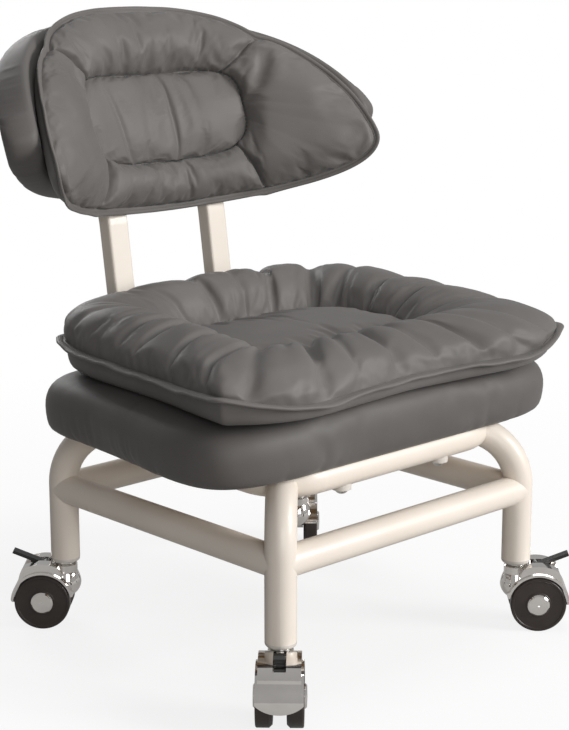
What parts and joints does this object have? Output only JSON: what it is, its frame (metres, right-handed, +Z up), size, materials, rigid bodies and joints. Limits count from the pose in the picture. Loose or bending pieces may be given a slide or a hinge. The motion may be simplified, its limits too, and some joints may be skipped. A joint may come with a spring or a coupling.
{
  "type": "rolling floor chair",
  "caption": "Low rolling chair with a tube frame on braked casters, a padded seat with a loose cushion and a curved wrap-round padded back.",
  "frame": {"origin": "on the floor at the centre of the four legs", "axes": "+Z up, -Y the way the sitter faces, +X the sitter's left"},
  "size_m": [0.4218, 0.437, 0.5294],
  "materials": {
    "frame_paint": "warm off-white gloss powder coat",
    "cushion_cover": "warm mid-grey leatherette, soft satin",
    "pad_cover": "darker grey leatherette, soft satin",
    "plywood": "bare birch plywood",
    "zinc_steel": "bright zinc plate",
    "chrome": "bright chrome plate",
    "wheel_plastic": "near-black nylon",
    "lever_plastic": "black nylon",
    "plug_plastic": "off-white nylon"
  },
  "bodies": {
    "frame": {"upper_ring": "frame_paint", "seat_cross_tube": "frame_paint", "leg_front_left": "frame_paint", "leg_front_right": "frame_paint", "leg_rear_left": "frame_paint", "leg_rear_right": "frame_paint", "stretcher_front": "frame_paint", "stretcher_rear": "frame_paint", "stretcher_left": "frame_paint", "stretcher_right": "frame_paint", "upright_left": "frame_paint", "upright_right": "frame_paint", "tube_end_caps": "plug_plastic", "leg_sockets": "plug_plastic", "saddle_washers": "plug_plastic", "seat_screws": "zinc_steel", "back_screws": "zinc_steel", "tee_nuts": "zinc_steel", "seat_board": "plywood", "back_board": "plywood", "seat_pad": "pad_cover", "seat_cushion": "cushion_cover", "back_pad": "pad_cover", "back_cushion": "cushion_cover", "front_left_caster_stem": "zinc_steel", "front_right_caster_stem": "zinc_steel", "rear_left_caster_stem": "zinc_steel", "rear_right_caster_stem": "zinc_steel"},
    "front_left_caster": {"front_left_caster_housing": "chrome", "front_left_axle": "zinc_steel"},
    "front_left_wheel_a_body": {"front_left_wheel_a": "wheel_plastic", "front_left_hub_cap_a": "chrome"},
    "front_left_wheel_b_body": {"front_left_wheel_b": "wheel_plastic", "front_left_hub_cap_b": "chrome"},
    "front_left_lever": {"front_left_brake_lever": "lever_plastic"},
    "front_right_caster": {"front_right_caster_housing": "chrome", "front_right_axle": "zinc_steel"},
    "front_right_wheel_a_body": {"front_right_wheel_a": "wheel_plastic", "front_right_hub_cap_a": "chrome"},
    "front_right_wheel_b_body": {"front_right_wheel_b": "wheel_plastic", "front_right_hub_cap_b": "chrome"},
    "front_right_lever": {"front_right_brake_lever": "lever_plastic"},
    "rear_left_caster": {"rear_left_caster_housing": "chrome", "rear_left_axle": "zinc_steel"},
    "rear_left_wheel_a_body": {"rear_left_wheel_a": "wheel_plastic", "rear_left_hub_cap_a": "chrome"},
    "rear_left_wheel_b_body": {"rear_left_wheel_b": "wheel_plastic", "rear_left_hub_cap_b": "chrome"},
    "rear_left_lever": {"rear_left_brake_lever": "lever_plastic"},
    "rear_right_caster": {"rear_right_caster_housing": "chrome", "rear_right_axle": "zinc_steel"},
    "rear_right_wheel_a_body": {"rear_right_wheel_a": "wheel_plastic", "rear_right_hub_cap_a": "chrome"},
    "rear_right_wheel_b_body": {"rear_right_wheel_b": "wheel_plastic", "rear_right_hub_cap_b": "chrome"},
    "rear_right_lever": {"rear_right_brake_lever": "lever_plastic"}
  },
  "joints": [
    {"name": "front_left_swivel", "type": "hinge", "parent": "frame", "child": "front_left_caster", "pos_m": [0.14, -0.1365, 0.05], "axis": [0, 0, 1], "continuous": true},
    {"name": "front_left_wheel_a_spin", "type": "hinge", "parent": "front_left_caster", "child": "front_left_wheel_a_body", "pos_m": [0.15343, -0.14994, 0.024], "axis": [0.7071, 0.7071, 0], "continuous": true},
    {"name": "front_left_wheel_b_spin", "type": "hinge", "parent": "front_left_caster", "child": "front_left_wheel_b_body", "pos_m": [0.15343, -0.14994, 0.024], "axis": [0.7071, 0.7071, 0], "continuous": true},
    {"name": "front_left_brake", "type": "hinge", "parent": "front_left_caster", "child": "front_left_lever", "pos_m": [0.15202, -0.14852, 0.054], "axis": [0.7071, 0.7071, 0], "range_deg": [0, 17]},
    {"name": "front_right_swivel", "type": "hinge", "parent": "frame", "child": "front_right_caster", "pos_m": [-0.14, -0.1365, 0.05], "axis": [0, 0, 1], "continuous": true},
    {"name": "front_right_wheel_a_spin", "type": "hinge", "parent": "front_right_caster", "child": "front_right_wheel_a_body", "pos_m": [-0.15343, -0.14994, 0.024], "axis": [0.7071, -0.7071, 0], "continuous": true},
    {"name": "front_right_wheel_b_spin", "type": "hinge", "parent": "front_right_caster", "child": "front_right_wheel_b_body", "pos_m": [-0.15343, -0.14994, 0.024], "axis": [0.7071, -0.7071, 0], "continuous": true},
    {"name": "front_right_brake", "type": "hinge", "parent": "front_right_caster", "child": "front_right_lever", "pos_m": [-0.15202, -0.14852, 0.054], "axis": [0.7071, -0.7071, 0], "range_deg": [0, 17]},
    {"name": "rear_left_swivel", "type": "hinge", "parent": "frame", "child": "rear_left_caster", "pos_m": [0.14, 0.1365, 0.05], "axis": [0, 0, 1], "continuous": true},
    {"name": "rear_left_wheel_a_spin", "type": "hinge", "parent": "rear_left_caster", "child": "rear_left_wheel_a_body", "pos_m": [0.15343, 0.14994, 0.024], "axis": [-0.7071, 0.7071, 0], "continuous": true},
    {"name": "rear_left_wheel_b_spin", "type": "hinge", "parent": "rear_left_caster", "child": "rear_left_wheel_b_body", "pos_m": [0.15343, 0.14994, 0.024], "axis": [-0.7071, 0.7071, 0], "continuous": true},
    {"name": "rear_left_brake", "type": "hinge", "parent": "rear_left_caster", "child": "rear_left_lever", "pos_m": [0.15202, 0.14852, 0.054], "axis": [-0.7071, 0.7071, 0], "range_deg": [0, 17]},
    {"name": "rear_right_swivel", "type": "hinge", "parent": "frame", "child": "rear_right_caster", "pos_m": [-0.14, 0.1365, 0.05], "axis": [0, 0, 1], "continuous": true},
    {"name": "rear_right_wheel_a_spin", "type": "hinge", "parent": "rear_right_caster", "child": "rear_right_wheel_a_body", "pos_m": [-0.15343, 0.14994, 0.024], "axis": [-0.7071, -0.7071, 0], "continuous": true},
    {"name": "rear_right_wheel_b_spin", "type": "hinge", "parent": "rear_right_caster", "child": "rear_right_wheel_b_body", "pos_m": [-0.15343, 0.14994, 0.024], "axis": [-0.7071, -0.7071, 0], "continuous": true},
    {"name": "rear_right_brake", "type": "hinge", "parent": "rear_right_caster", "child": "rear_right_lever", "pos_m": [-0.15202, 0.14852, 0.054], "axis": [-0.7071, -0.7071, 0], "range_deg": [0, 17]}
  ]
}
